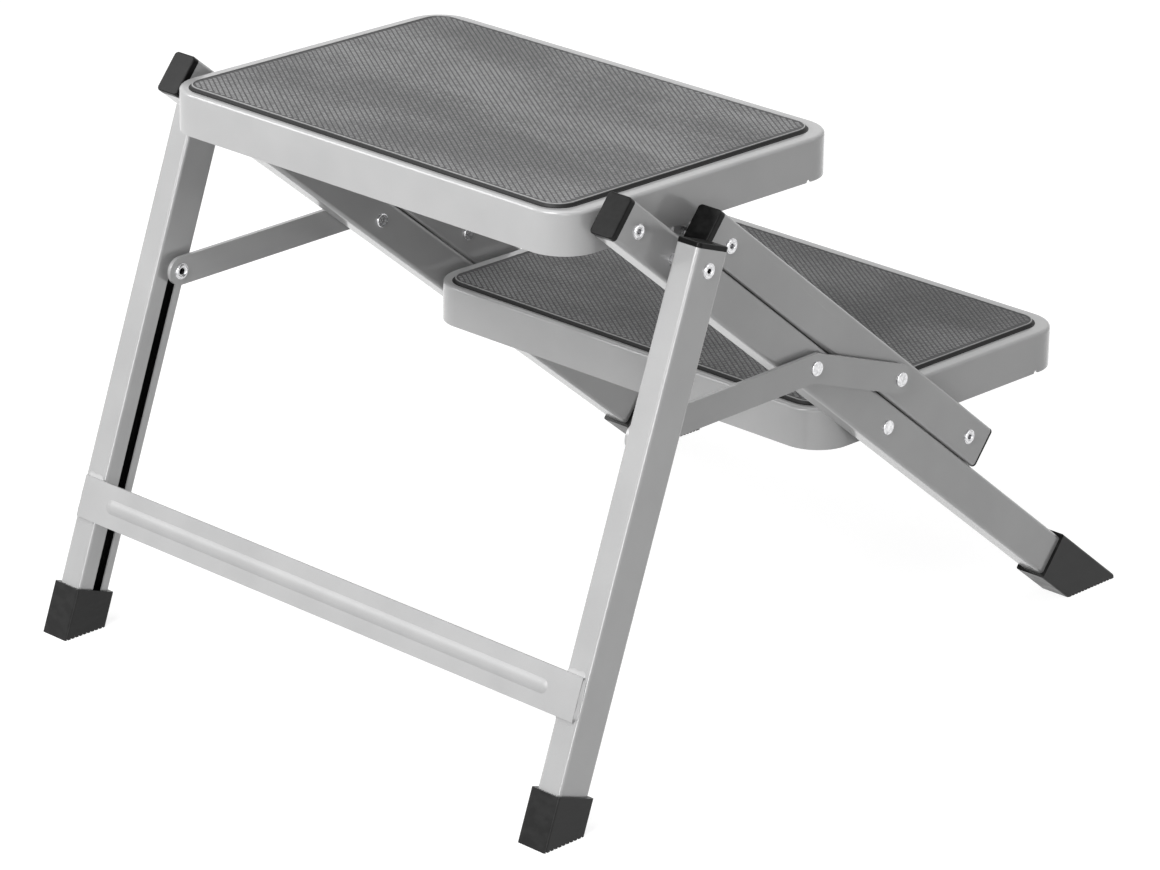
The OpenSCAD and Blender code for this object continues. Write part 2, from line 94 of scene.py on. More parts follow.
class NodeSheet:
    """A material's node sheet, with short calls for the nodes that the finishes share."""

    def __init__(self, name: str) -> None:
        """Start a material with a Principled shader.

        Args:
            name: The material's name.
        """
        self.material = bpy.data.materials.new(name)
        self.material.use_nodes = True
        self.tree = self.material.node_tree
        self.tree.nodes.clear()
        self.output = self.add("ShaderNodeOutputMaterial")
        self.shader = self.add("ShaderNodeBsdfPrincipled")
        self.link(self.shader.outputs["BSDF"], self.output.inputs["Surface"])
        coordinates = self.add("ShaderNodeTexCoord")
        self.place = coordinates.outputs["Object"]
        self.share = coordinates.outputs["Generated"]

    def add(self, kind: str, **settings: object) -> bpy.types.Node:
        """Add a node.

        Args:
            kind: The node's type name.
            settings: Attributes to set on it.

        Returns:
            The new node.
        """
        node = self.tree.nodes.new(kind)
        for key, value in settings.items():
            setattr(node, key, value)
        return node

    def link(self, source: bpy.types.NodeSocket, target: bpy.types.NodeSocket) -> None:
        """Join two sockets."""
        self.tree.links.new(source, target)

    def math(self, operation: str, *terms: bpy.types.NodeSocket | float) -> bpy.types.NodeSocket:
        """Add a Math node.

        Args:
            operation: The node's operation.
            terms: Sockets or numbers, in the node's order.

        Returns:
            The result's socket.
        """
        node = self.add("ShaderNodeMath", operation=operation)
        for socket, term in zip(node.inputs, terms):
            self.feed(term, socket)
        return node.outputs[0]

    def feed(
        self, term: bpy.types.NodeSocket | float | tuple[float, ...], socket: bpy.types.NodeSocket
    ) -> None:
        """Link a socket, or write a number or a colour, into an input."""
        if isinstance(term, bpy.types.NodeSocket):
            self.link(term, socket)
        else:
            socket.default_value = term

    def noise(
        self, size: float, detail: float, stretch: Vector = Vector((1, 1, 1))
    ) -> bpy.types.NodeSocket:
        """Add a noise whose features are about one size.

        Args:
            size: The size of its features in metres.
            detail: The number of finer layers.
            stretch: Factors on the noise's frequency along each axis.

        Returns:
            The noise's value, about 0 to 1.
        """
        spread = self.add("ShaderNodeMapping")
        spread.inputs["Scale"].default_value = stretch
        self.link(self.place, spread.inputs["Vector"])
        node = self.add("ShaderNodeTexNoise")
        node.inputs["Scale"].default_value = 1 / size
        node.inputs["Detail"].default_value = detail
        self.link(spread.outputs[0], node.inputs["Vector"])
        return node.outputs["Fac"]

    def ramp(
        self, value: bpy.types.NodeSocket, low: float, high: float,
        start: float = 0.0, end: float = 1.0,
    ) -> bpy.types.NodeSocket:
        """Map a value from one range to another, held at both ends.

        Args:
            value: The value's socket.
            low: The value that gives start.
            high: The value that gives end.
            start: The result at low.
            end: The result at high.

        Returns:
            The mapped value.
        """
        node = self.add("ShaderNodeMapRange")
        for socket, number in zip(list(node.inputs)[1:5], (low, high, start, end)):
            socket.default_value = number
        self.link(value, node.inputs["Value"])
        return node.outputs["Result"]

    def mixed(
        self, value: bpy.types.NodeSocket,
        first: "bpy.types.NodeSocket | Tone", second: "bpy.types.NodeSocket | Tone",
    ) -> bpy.types.NodeSocket:
        """Mix two colours by a value.

        Args:
            value: 0 gives first and 1 gives second.
            first: The first colour, or its socket.
            second: The second colour, or its socket.

        Returns:
            The mixed colour.
        """
        node = self.add("ShaderNodeMix", data_type="RGBA")
        self.link(value, node.inputs["Factor"])
        for term, socket in ((first, node.inputs[6]), (second, node.inputs[7])):
            self.feed(term.rgba if isinstance(term, Tone) else term, socket)
        return node.outputs[2]

    def bump(self, height: bpy.types.NodeSocket, depth: float) -> None:
        """Give the shader a relief.

        Args:
            height: The relief's value, 0 to 1.
            depth: The height in metres of a value of 1.
        """
        node = self.add("ShaderNodeBump")
        node.inputs["Strength"].default_value = 1.0
        node.inputs["Distance"].default_value = depth
        self.link(height, node.inputs["Height"])
        self.link(node.outputs["Normal"], self.shader.inputs["Normal"])

    def set(self, **values: float) -> None:
        """Write plain numbers on the shader's own sockets, with _ for a space in a name."""
        for key, value in values.items():
            self.shader.inputs[key.replace("_", " ")].default_value = value


@dataclass(frozen=True)
class Tone:
    """A colour, as linear red, green and blue."""

    red: float
    green: float
    blue: float

    @property
    def rgba(self) -> tuple[float, float, float, float]:
        """The colour with full cover."""
        return (self.red, self.green, self.blue, 1.0)


@dataclass(frozen=True)
class SilverPaint:
    """Silver powder coat: fine grain, faint clouds, and a thin hard skin that glints on folds."""

    name: str
    dark: Tone = Tone(0.395, 0.395, 0.397)
    pale: Tone = Tone(0.450, 0.450, 0.451)
    grain: float = 0.6 * MM
    grain_depth: float = 0.012 * MM
    grain_share: float = 0.3
    cloud: float = 45 * MM
    cloud_share: float = 0.7
    layers: float = 2.0
    smooth: float = 0.40
    rough: float = 0.50
    metallic: float = 0.10
    specular: float = 0.3
    skin: float = 1.0
    skin_rough: float = 0.15
    skin_ior: float = 1.5

    def build(self) -> bpy.types.Material:
        """Make the paint's material."""
        sheet = NodeSheet(self.name)
        cloud = sheet.noise(self.cloud, self.layers)
        grain = sheet.noise(self.grain, self.layers)
        speck = sheet.math(
            "ADD",
            sheet.ramp(cloud, NOISE_LOW, NOISE_HIGH, end=self.cloud_share),
            sheet.ramp(grain, NOISE_LOW, NOISE_HIGH, end=self.grain_share),
        )
        rough = sheet.ramp(grain, NOISE_LOW, NOISE_HIGH, self.smooth, self.rough)
        sheet.link(self.colour(sheet, speck), sheet.shader.inputs["Base Color"])
        sheet.link(rough, sheet.shader.inputs["Roughness"])
        sheet.set(Metallic=self.metallic, Specular_IOR_Level=self.specular)
        sheet.set(Coat_Weight=self.skin, Coat_Roughness=self.skin_rough, Coat_IOR=self.skin_ior)
        sheet.bump(grain, self.grain_depth)
        return sheet.material

    def colour(self, sheet: NodeSheet, speck: bpy.types.NodeSocket) -> bpy.types.NodeSocket:
        """Give the paint's colour.

        Args:
            sheet: The sheet that takes the nodes.
            speck: 0 gives the dark paint and 1 the pale.

        Returns:
            The colour's socket.
        """
        return sheet.mixed(speck, self.dark, self.pale)


@dataclass(frozen=True, kw_only=True)
class SlottedTubePaint(SilverPaint):
    """The silver paint on the slotted rear tubes, whose unpainted inside is drawn near-black as
    painted shade.

    The inside is told from the outside by its depth below the tube's own faces.
    """

    layout: "StepLayout"
    # Near-black painted shade inside the tube, where the paint stops.
    inside_shade: Tone = Tone(0.010, 0.010, 0.010)
    painted_depth: float = 1.1 * MM
    blend: float = 0.2 * MM

    def colour(self, sheet: NodeSheet, speck: bpy.types.NodeSocket) -> bpy.types.NodeSocket:
        """Give the paint's colour, and near-black painted shade below the skin of the tube.

        Args:
            sheet: The sheet that takes the nodes.
            speck: 0 gives the dark paint and 1 the pale.

        Returns:
            The colour's socket.
        """
        leg = self.layout.rear_leg
        forward = leg.to_3x3().col[1]
        split = sheet.add("ShaderNodeSeparateXYZ")
        sheet.link(sheet.place, split.inputs[0])
        across = sheet.math("ABSOLUTE", split.outputs["X"])
        ahead = sheet.add("ShaderNodeVectorMath", operation="DOT_PRODUCT")
        sheet.link(sheet.place, ahead.inputs[0])
        ahead.inputs[1].default_value = forward
        middle = forward.dot(leg.translation)
        offset = sheet.math("ABSOLUTE", sheet.math("SUBTRACT", ahead.outputs["Value"], middle))
        below_sides = sheet.math(
            "MINIMUM",
            sheet.math("SUBTRACT", across, self.layout.leg_inner),
            sheet.math("SUBTRACT", self.layout.leg_outer, across),
        )
        below_ends = sheet.math("SUBTRACT", self.layout.tube_depth / 2, offset)
        below = sheet.math("MINIMUM", below_sides, below_ends)
        inside = sheet.ramp(below, self.painted_depth, self.painted_depth + self.blend)
        return sheet.mixed(inside, super().colour(sheet, speck), self.inside_shade)


@dataclass(frozen=True)
class KnurledRubber:
    """Grey mat rubber: stud tops lighter in broad patches, partly scuffed by feet and partly a
    painted sheen; grooves painted darker as painted shade; a smooth lip painted pale as a painted
    highlight; and sides painted black as painted shade.

    The levels are shares of the mat's own thickness, so both mats share the material.
    """

    name: str
    groove_shade: Tone = Tone(0.060, 0.060, 0.061)
    stud: Tone = Tone(0.120, 0.120, 0.122)
    worn_and_sheen: Tone = Tone(0.240, 0.240, 0.243)
    flank_shade: Tone = Tone(0.002, 0.002, 0.002)
    lip: Tone = Tone(0.42, 0.42, 0.42)
    flank_top: float = 0.76
    flank_end: float = 0.78
    field_level: float = 0.79
    stud_level: float = 0.93
    lip_start: float = 0.96
    lip_level: float = 0.985
    wear_and_sheen: float = 85 * MM
    wear_layers: float = 4.0
    wear_stretch: Vector = Vector((0.6, 1.3, 1.0))
    wear_low: float = 0.35
    speck: float = 2.4 * MM
    speck_layers: float = 1.0
    speck_share: float = 0.45
    grain: float = 0.35 * MM
    grain_depth: float = 0.03 * MM
    grain_layers: float = 2.0
    rough: float = 0.62
    worn_rough: float = 0.50
    lip_polish: float = 0.34
    specular: float = 0.40

    def build(self) -> bpy.types.Material:
        """Make the mat's material."""
        sheet = NodeSheet(self.name)
        split = sheet.add("ShaderNodeSeparateXYZ")
        sheet.link(sheet.share, split.inputs[0])
        height = split.outputs["Z"]
        lip = sheet.ramp(height, self.lip_start, self.lip_level)
        wear_and_sheen = sheet.noise(self.wear_and_sheen, self.wear_layers, self.wear_stretch)
        wear_and_sheen = sheet.ramp(wear_and_sheen, self.wear_low, NOISE_HIGH)
        colour = self.colour(sheet, height, lip, wear_and_sheen)
        rough = sheet.ramp(wear_and_sheen, 0.0, 1.0, self.rough, self.worn_rough)
        rough = sheet.math("SUBTRACT", rough, sheet.math("MULTIPLY", lip, self.lip_polish))
        sheet.link(colour, sheet.shader.inputs["Base Color"])
        sheet.link(rough, sheet.shader.inputs["Roughness"])
        sheet.set(Specular_IOR_Level=self.specular)
        sheet.bump(sheet.noise(self.grain, self.grain_layers), self.grain_depth)
        return sheet.material

    def colour(
        self, sheet: NodeSheet, height: bpy.types.NodeSocket,
        lip: bpy.types.NodeSocket, wear_and_sheen: bpy.types.NodeSocket,
    ) -> bpy.types.NodeSocket:
        """Give the rubber's colour.

        Args:
            sheet: The sheet that takes the nodes.
            height: The level, as a share of the mat's thickness.
            lip: 1 on the smooth lip, which is painted pale as a painted highlight.
            wear_and_sheen: 1 where feet have scuffed the studs, and where the stud tops carry a
                broad painted sheen.

        Returns:
            The colour's socket.
        """
        speck = sheet.ramp(
            sheet.noise(self.speck, self.speck_layers),
            NOISE_LOW, NOISE_HIGH, -self.speck_share, self.speck_share,
        )
        # Stud tops turn lighter in broad patches: partly scuffing by feet, partly a painted sheen.
        stud_wear_and_sheen = sheet.mixed(sheet.math("ADD", wear_and_sheen, speck), self.stud, self.worn_and_sheen)
        # The lip is painted pale: a painted highlight along the mat's rounded edge.
        top = sheet.mixed(lip, stud_wear_and_sheen, self.lip)
        # The grooves are painted darker than the stud tops: painted shade between the studs.
        rise = sheet.ramp(height, self.field_level, self.stud_level)
        relief = sheet.mixed(rise, self.groove_shade, top)
        # Below the field the mat is painted black: painted shade on the mat's sides, and painted
        # shadow on the thin sheet round its foot.
        black = sheet.ramp(height, self.flank_top, self.flank_end, 1.0, 0.0)
        return sheet.mixed(black, relief, self.flank_shade)


@dataclass(frozen=True, kw_only=True)
class BlackMoulding:
    """Black moulded plastic or rubber, with scuffs that dull it and turn it grey."""

    name: str
    dark: Tone
    pale: Tone
    gloss: float
    dull: float
    specular: float
    skin: float
    skin_rough: float = 0.18
    grain: float = 0.5 * MM
    grain_depth: float = 0.02 * MM
    grain_layers: float = 2.0
    scuff: float = 9 * MM
    scuff_layers: float = 5.0
    scuff_stretch: Vector = Vector((1.0, 0.5, 1.6))
    scuff_low: float = 0.42
    scuff_high: float = 0.72

    def build(self) -> bpy.types.Material:
        """Make the moulding's material."""
        sheet = NodeSheet(self.name)
        scuff = sheet.noise(self.scuff, self.scuff_layers, self.scuff_stretch)
        scuff = sheet.ramp(scuff, self.scuff_low, self.scuff_high)
        rough = sheet.ramp(scuff, 0.0, 1.0, self.gloss, self.dull)
        sheet.link(sheet.mixed(scuff, self.dark, self.pale), sheet.shader.inputs["Base Color"])
        sheet.link(rough, sheet.shader.inputs["Roughness"])
        sheet.set(Specular_IOR_Level=self.specular)
        sheet.set(Coat_Weight=self.skin, Coat_Roughness=self.skin_rough)
        sheet.bump(sheet.noise(self.grain, self.grain_layers), self.grain_depth)
        return sheet.material


@dataclass(frozen=True)
class BrightPlating:
    """Zinc plating with the small dents of a riveting tool."""

    name: str
    dark: Tone = Tone(0.50, 0.50, 0.51)
    pale: Tone = Tone(0.86, 0.86, 0.87)
    dent: float = 2.2 * MM
    dent_depth: float = 0.07 * MM
    dent_layers: float = 3.0
    smooth: float = 0.16
    rough: float = 0.34

    def build(self) -> bpy.types.Material:
        """Make the plating's material."""
        sheet = NodeSheet(self.name)
        dent = sheet.noise(self.dent, self.dent_layers)
        share = sheet.ramp(dent, NOISE_LOW, NOISE_HIGH)
        rough = sheet.ramp(dent, NOISE_LOW, NOISE_HIGH, self.smooth, self.rough)
        sheet.link(sheet.mixed(share, self.dark, self.pale), sheet.shader.inputs["Base Color"])
        sheet.link(rough, sheet.shader.inputs["Roughness"])
        sheet.set(Metallic=1.0)
        sheet.bump(dent, self.dent_depth)
        return sheet.material


class Finishes:
    """The step's materials: one for each slot of the record, and two variants of its paint."""

    def __init__(self, layout: "StepLayout") -> None:
        """Make every material once.

        Args:
            layout: The step's main sizes and places.
        """
        self.bar_paint = SilverPaint("bar_paint_satin", skin=0.18, skin_rough=0.35).build()
        # The rear legs take a slightly darker copy of the frame paint: painted shade that offsets
        # their glossier skin.
        self.rear_leg_paint = SlottedTubePaint(
            name="rear_leg_paint_coat",
            dark=Tone(0.350, 0.350, 0.352),
            pale=Tone(0.400, 0.400, 0.401),
            skin_ior=1.9,
            layout=layout,
        ).build()
        frame_paint = SilverPaint(
            "frame_paint_coat",
            dark=Tone(0.358, 0.358, 0.360),
            pale=Tone(0.408, 0.408, 0.409),
            skin_ior=1.6,
        )
        cap_plastic = BlackMoulding(
            name="cap_plastic_gloss",
            dark=Tone(0.002, 0.002, 0.002),
            pale=Tone(0.009, 0.009, 0.009),
            gloss=0.30,
            dull=0.45,
            specular=0.10,
            skin=0.10,
        )
        foot_rubber = BlackMoulding(
            name="foot_rubber_matt",
            dark=Tone(0.003, 0.003, 0.003),
            pale=Tone(0.011, 0.011, 0.011),
            gloss=0.40,
            dull=0.60,
            specular=0.12,
            skin=0.34,
        )
        self.of: dict[Slot, bpy.types.Material] = {
            Slot.FRAME: frame_paint.build(),
            Slot.TREAD: SilverPaint("tread_paint_coat").build(),
            Slot.MAT: KnurledRubber("mat_rubber_knurl").build(),
            Slot.CAP: cap_plastic.build(),
            Slot.FOOT: foot_rubber.build(),
            Slot.ZINC: BrightPlating("zinc_plate").build(),
        }

    def dress(
        self, names: Iterable[str], slot: Slot, finish: bpy.types.Material | None = None
    ) -> None:
        """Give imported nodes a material.

        Args:
            names: The nodes' names.
            slot: The finish that they take.
            finish: A variant of that finish, or None for the plain one.
        """
        for name in names:
            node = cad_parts[name]
            node.data.materials.clear()
            node.data.materials.append(finish or self.of[slot])
            log.info("node %s: %s", name, slot.value)


class Bench:
    """Turns mesh data into finished pieces that ride on a body."""

    def __init__(self, finishes: Finishes) -> None:
        """Keep the materials.

        Args:
            finishes: The step's materials.
        """
        self.finishes = finishes

    def piece(
        self, name: str, mesh: bmesh.types.BMesh, slot: Slot, body: str, sharp: float,
        finish: bpy.types.Material | None = None,
    ) -> bpy.types.Object:
        """Make a piece from a mesh.

        Args:
            name: The piece's name.
            mesh: Its mesh, in the model's frame, freed here.
            slot: The finish that it takes.
            body: The body that it moves with.
            sharp: The angle in degrees from which an edge stays sharp.
            finish: A variant of the slot's finish, or None for the plain one.

        Returns:
            The piece.
        """
        bmesh.ops.recalc_face_normals(mesh, faces=mesh.faces)
        data = bpy.data.meshes.new(name)
        mesh.to_mesh(data)
        mesh.free()
        data.shade_smooth()
        data.set_sharp_from_angle(angle=math.radians(sharp))
        data.materials.append(finish or self.finishes.of[slot])
        piece = bpy.data.objects.new(name, data)
        bpy.context.scene.collection.objects.link(piece)
        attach(piece, body)
        log.info("piece %s on %s: %d faces", name, body, len(data.polygons))
        return piece


@dataclass(frozen=True)
class RoundedRectangle:
    """A rectangle with round corners in the XY plane, counted from its middle."""

    width: float
    length: float
    corner: float

    def inset(self, reach: float) -> "RoundedRectangle":
        """Give the rectangle whose sides lie this far inside."""
        return RoundedRectangle(
            self.width - 2 * reach, self.length - 2 * reach, self.corner - reach
        )

    def outline(self, steps: int) -> list[Vector]:
        """Give the points of its outline.

        Args:
            steps: The number of straight steps round each corner.

        Returns:
            The points, anticlockwise.
        """
        points = []
        x, y = self.width / 2 - self.corner, self.length / 2 - self.corner
        for quarter, (sx, sy) in enumerate(((1, 1), (-1, 1), (-1, -1), (1, -1))):
            centre = Vector((sx * x, sy * y, 0))
            for step in range(steps + 1):
                angle = math.pi / 2 * (quarter + step / steps)
                points.append(centre + self.corner * Vector((math.cos(angle), math.sin(angle), 0)))
        return points

    def holds(self, x: float, y: float, margin: float) -> bool:
        """Tell whether a point lies inside.

        Args:
            x: The point's place along X.
            y: The point's place along Y.
            margin: The distance that it has to keep from the outline.

        Returns:
            Whether it lies inside by the margin or more.
        """
        past_x = max(0.0, abs(x) - (self.width / 2 - self.corner))
        past_y = max(0.0, abs(y) - (self.length / 2 - self.corner))
        return math.hypot(past_x, past_y) <= self.corner - margin


def loft(mesh: bmesh.types.BMesh, rings: list[list[Vector]]) -> None:
    """Join rings of points with faces, and cover the first ring and the last.

    Args:
        mesh: The mesh that takes them.
        rings: Rings of equal length, in order.
    """
    made = [[mesh.verts.new(point) for point in ring] for ring in rings]
    count = len(rings[0])
    for low, high in zip(made, made[1:]):
        for i in range(count):
            j = (i + 1) % count
            mesh.faces.new((low[i], low[j], high[j], high[i]))
    mesh.faces.new(made[0])
    mesh.faces.new(made[-1])


@dataclass(frozen=True)
class StepLayout:
    """The step's main sizes and places, as in the model."""

    slope: float = math.radians(38.5)
    upper_pivot: Vector = Vector((0, 0.200264, 0.38730))
    tread_pitch: float = 0.322
    leg_pivot_drop: float = 0.0433
    tube_depth: float = 0.030
    leg_inner: float = 0.2248
    leg_outer: float = 0.2448

    @property
    def lean(self) -> float:
        """The rear leg's angle from upright."""
        return self.slope / 2

    @property
    def down_ladder(self) -> Vector:
        """The direction down the front leg."""
        return Vector((0, -math.cos(self.slope), -math.sin(self.slope)))

    def pivot(self, level: TreadLevel) -> Vector:
        """Give a tread's rear pivot."""
        drop = self.tread_pitch if level is TreadLevel.LOWER else 0.0
        return self.upper_pivot + drop * self.down_ladder

    @property
    def rear_leg(self) -> Matrix:
        """The rear legs' frame: X across, Y forward of the leg, Z down the leg."""
        place = self.upper_pivot + self.leg_pivot_drop * self.down_ladder
        return Matrix.Translation(place) @ Matrix.Rotation(math.pi + self.lean, 4, "X")


@dataclass(frozen=True)
class StudField:
    """The low, long studs on top of a mat, in rows that lean both ways.

    A stud narrows from foot_share to top_share of its cell in the lattice. Its foot sinks
    into the mat, and its top stays a little below the lip.
    """

    half_length: float = 0.0030
    half_width: float = 0.0020
    foot_share: float = 0.91
    top_share: float = 0.58
    rise: float = 0.00055
    lip: float = 0.0017
    cover_inset: float = 0.0014
    sink: float = 0.0002
    below_lip: float = 0.0001

    def cover(self, mesh: bmesh.types.BMesh, middle: Vector, slab: RoundedRectangle) -> None:
        """Stand a stud on every place of the lattice inside the mat's lip.

        Args:
            mesh: The mesh that takes them.
            middle: The middle of the mat's top.
            slab: The mat's outline.
        """
        columns = int(slab.width / 2 / self.half_length) + 1
        rows = int(slab.length / 2 / self.half_width) + 1
        for column in range(-columns, columns + 1):
            for row in range(-rows, rows + 1):
                place = Vector((column * self.half_length, row * self.half_width, 0))
                if (column + row) % 2 == 0 and self.fits(place, slab):
                    self.stud(mesh, middle + place)

    def fits(self, place: Vector, slab: RoundedRectangle) -> bool:
        """Tell whether a stud's foot stays inside the lip.

        Args:
            place: The stud's middle, counted from the mat's.
            slab: The mat's outline.

        Returns:
            Whether all four corners of its foot are inside.
        """
        return all(
            slab.holds(place.x + dx, place.y + dy, self.cover_inset)
            for dx, dy in self.corners(self.foot_share)
        )

    def corners(self, share: float) -> list[tuple[float, float]]:
        """Give the four corners of a stud's outline at a share of its full size."""
        long, wide = share * self.half_length, share * self.half_width
        return [(long, 0.0), (0.0, wide), (-long, 0.0), (0.0, -wide)]

    def stud(self, mesh: bmesh.types.BMesh, top: Vector) -> None:
        """Stand one stud with sloping sides and a flat top.

        Args:
            mesh: The mesh that takes it.
            top: Its middle, at the height of the mat's lip.
        """
        foot = (self.foot_share, self.rise + self.sink)
        crown = (self.top_share, self.below_lip)
        loft(mesh, [
            [top + Vector((dx, dy, -drop)) for dx, dy in self.corners(share)]
            for share, drop in (foot, crown)
        ])


@dataclass
class Tread:
    """A tray with its brackets and rubber mat."""

    level: TreadLevel
    layout: StepLayout
    width: float = 0.380
    depth: float = 0.264
    corner: float = 0.028
    pivot_inset: float = 0.0414
    top_rise: float = 0.0127
    mat_side: float = 0.012
    mat_rear: float = 0.006
    mat_front: float = 0.012
    mat_thickness: float = 0.0026
    mat_edge: float = 0.0005
    mat_batter: float = 0.0008
    # A thin sheet round the mat's foot, painted black as the mat's painted shadow on the tray.
    shadow_flange_reach: float = 0.0012
    shadow_flange_height: float = 0.0004
    corner_steps: int = 14
    edge_steps: int = 5
    sharp: float = 35.0
    studs: StudField = StudField()

    def build(self, bench: Bench) -> None:
        """Dress the tray and its brackets, and lay the mat.

        Args:
            bench: The maker of pieces.
        """
        word = self.level.value
        bench.finishes.dress([f"{word}_tray"], Slot.TREAD)
        bench.finishes.dress([f"{word}_bracket_{side.word}" for side in Side], Slot.FRAME)
        bench.finishes.dress([f"{word}_mat"], Slot.MAT)
        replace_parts(self.mat(bench), f"{word}_mat")

    def mat(self, bench: Bench) -> bpy.types.Object:
        """Make the rubber mat: a slab with a smooth lip round a field of low studs.

        Args:
            bench: The maker of pieces.

        Returns:
            The mat.
        """
        pivot = self.layout.pivot(self.level)
        slab = RoundedRectangle(
            self.width - 2 * self.mat_side,
            self.depth - self.mat_rear - self.mat_front,
            self.corner - self.mat_side,
        )
        rear = pivot.y + self.pivot_inset - self.mat_rear
        middle = Vector((0, rear - slab.length / 2, pivot.z + self.top_rise))
        mesh = bmesh.new()
        rings = []
        for inset, height in self.mat_profile():
            outline = slab.inset(inset).outline(self.corner_steps)
            rings.append([middle + point + Vector((0, 0, height)) for point in outline])
        loft(mesh, rings)
        self.studs.cover(mesh, middle + Vector((0, 0, self.mat_thickness)), slab)
        name = f"{self.level.value}_mat_rubber"
        return bench.piece(name, mesh, Slot.MAT, self.level.body, self.sharp)

    def mat_profile(self) -> list[tuple[float, float]]:
        """Give the slab's section: a thin sheet round the foot that stands in for the mat's painted
        shadow on the tray, the sloping side, rounded edge, lip, and the studs' field.

        Returns:
            Pairs of a distance in from the outline and a height.
        """
        bevel = self.shadow_flange_height / 2
        profile = [
            (-self.shadow_flange_reach, 0.0),
            (-self.shadow_flange_reach, bevel),
            (bevel - self.shadow_flange_reach, self.shadow_flange_height),
            (0.0, self.shadow_flange_height),
            (self.mat_batter, self.mat_thickness - self.mat_edge),
        ]
        for step in range(1, self.edge_steps + 1):
            angle = math.pi / 2 * step / self.edge_steps
            profile.append((
                self.mat_batter + self.mat_edge * (1 - math.cos(angle)),
                self.mat_thickness - self.mat_edge * (1 - math.sin(angle)),
            ))
        lip, rise = self.studs.lip, self.studs.rise
        profile.append((lip, self.mat_thickness))
        profile.append((lip + rise / 2, self.mat_thickness - rise))
        return profile


@dataclass
class FrontFrame:
    """The two front legs with their caps, feet, rivets, washers and the rear legs' pivots."""

    rivets: tuple[str, ...] = (
        "upper_tread_rivets",
        "lower_tread_rivets",
        "link_leg_rivets",
        "front_leg_washers",
        "leg_spacers",
    )

    def build(self, bench: Bench) -> None:
        """Dress the front frame.

        Args:
            bench: The maker of pieces.
        """
        for side in Side:
            bench.finishes.dress([f"front_leg_{side.word}"], Slot.FRAME)
            bench.finishes.dress([f"front_leg_cap_{side.word}"], Slot.CAP)
            bench.finishes.dress([f"front_foot_{side.word}"], Slot.FOOT)
            bench.finishes.dress([f"leg_pivot_{side.word}"], Slot.ZINC)
        bench.finishes.dress(self.rivets, Slot.ZINC)


@dataclass
class TreadRails:
    """The two rails above the front legs, with their caps, rivets and washers."""

    rivets: tuple[str, ...] = (
        "upper_rail_rivets",
        "lower_rail_rivets",
        "link_rail_rivets",
        "rail_washers",
    )

    def build(self, bench: Bench) -> None:
        """Dress the rails.

        Args:
            bench: The maker of pieces.
        """
        for side in Side:
            bench.finishes.dress([f"tread_rail_{side.word}"], Slot.FRAME)
            caps = [f"rail_{end}_cap_{side.word}" for end in ("top", "bottom")]
            bench.finishes.dress(caps, Slot.CAP)
        bench.finishes.dress(self.rivets, Slot.ZINC)


@dataclass
class FoldLinks:
    """The two bent links and the pins that slide in the rear legs."""

    def build(self, bench: Bench) -> None:
        """Dress the links and their pins.

        Args:
            bench: The maker of pieces.
        """
        for side in Side:
            bench.finishes.dress([f"fold_link_{side.word}"], Slot.FRAME)
            bench.finishes.dress([f"slot_pin_{side.word}"], Slot.ZINC)


@dataclass(frozen=True)
class WeldBead:
    """The shape of a weld: a low rippled mound from the bar's edge out onto the leg.

    The lap, swell, ripple and growth are shares of the reach and the height. The first and
    the last point of a section sink below the leg's face, so that the mound grows out of it.
    """

    reach: float
    height: float
    lap: float = 0.2
    swell: float = 0.84
    ripple: float = 0.09
    ripple_rate: float = 13.0
    growth: float = 0.16
    growth_power: int = 3
    end_power: int = 8
    least_end: float = 0.02
    sink: float = 0.0003
    steps: int = 40
    turns: int = 10

    def taper(self, share: float) -> float:
        """Give the mound's size at a share of the weld's length, as a share of its full size."""
        ripple = self.ripple * math.sin(self.ripple_rate * share + self.reach / MM)
        swell = self.swell + ripple + self.growth * share ** self.growth_power
        return swell * math.sqrt(max(self.least_end, 1 - (2 * share - 1) ** self.end_power))

    def section(self, share: float, centre: Vector, out: Vector) -> list[Vector]:
        """Give the mound's section.

        Args:
            share: The section's place, as a share of the weld's length.
            centre: The point of the bar's edge there, on the leg's face.
            out: The direction away from the bar.

        Returns:
            The points, from the bar over the mound to the leg.
        """
        taper = self.taper(share)
        sink = Vector((0, self.sink, 0))
        points = [centre - self.lap * self.reach * out + sink]
        for turn in range(self.turns + 1):
            place = turn / self.turns
            rise = self.height * taper * (0.5 + 0.5 * math.cos(math.pi * place))
            spread = ((1 + self.lap) * place - self.lap) * taper * self.reach
            points.append(centre + spread * out - Vector((0, rise, 0)))
        points.append(centre + taper * self.reach * out + sink)
        return points


